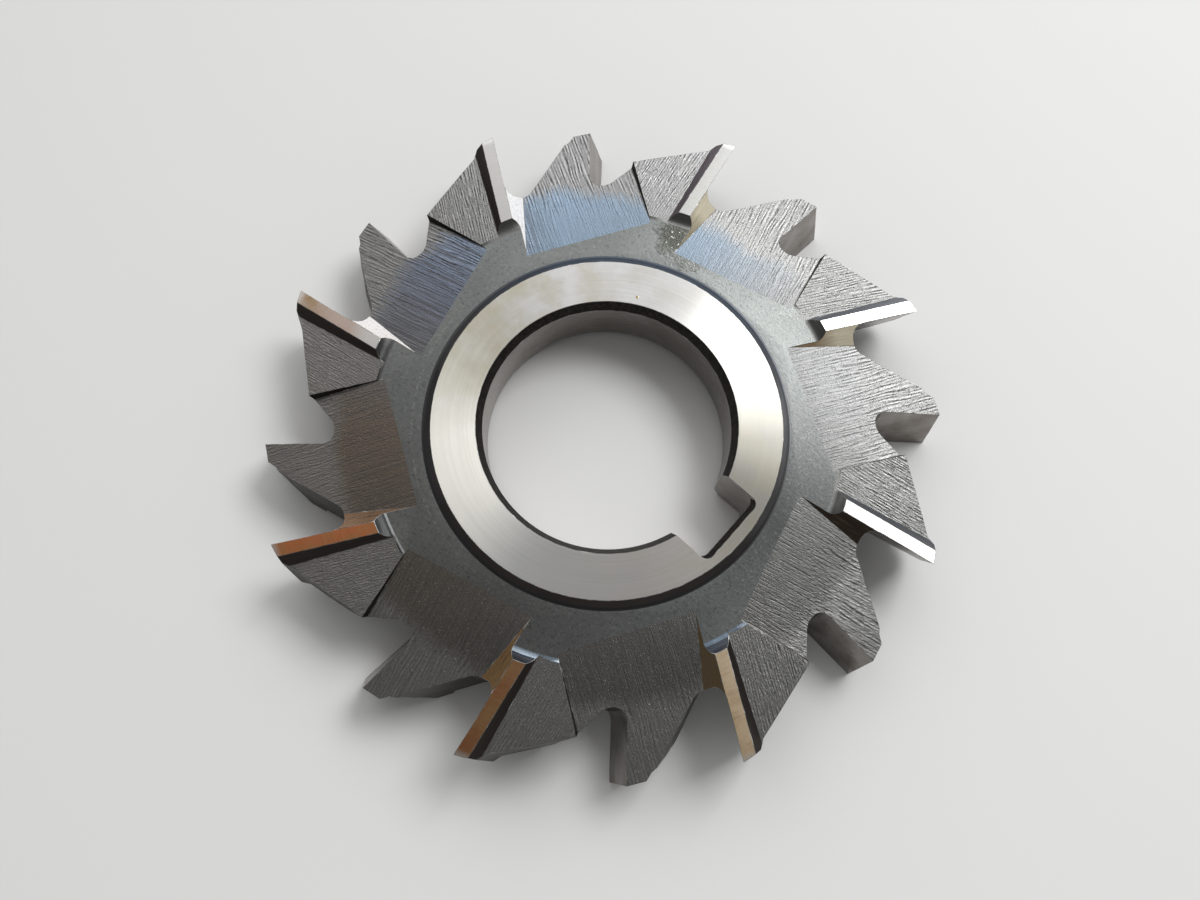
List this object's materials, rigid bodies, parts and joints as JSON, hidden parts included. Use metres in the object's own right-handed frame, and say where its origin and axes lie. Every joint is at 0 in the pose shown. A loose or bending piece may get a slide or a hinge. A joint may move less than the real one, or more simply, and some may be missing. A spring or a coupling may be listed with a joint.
{
  "type": "side milling cutter",
  "caption": "Flat steel disc cutter with staggered teeth on its rim and both sides, a raised ring on each side of the hub, and a bore with a keyway.",
  "frame": {"origin": "on the bore axis, in the plane of the underside's ring face", "axes": "+Z along the bore axis, out of the side that faces the viewer in the picture; +X through the middle of the keyway"},
  "size_m": [0.0698, 0.0698, 0.0079],
  "materials": {
    "tool_steel": "ground ring and lands, dark milled tooth sides, light oil staining"
  },
  "bodies": {
    "root": {"cutter_body": "tool_steel"}
  },
  "joints": []
}
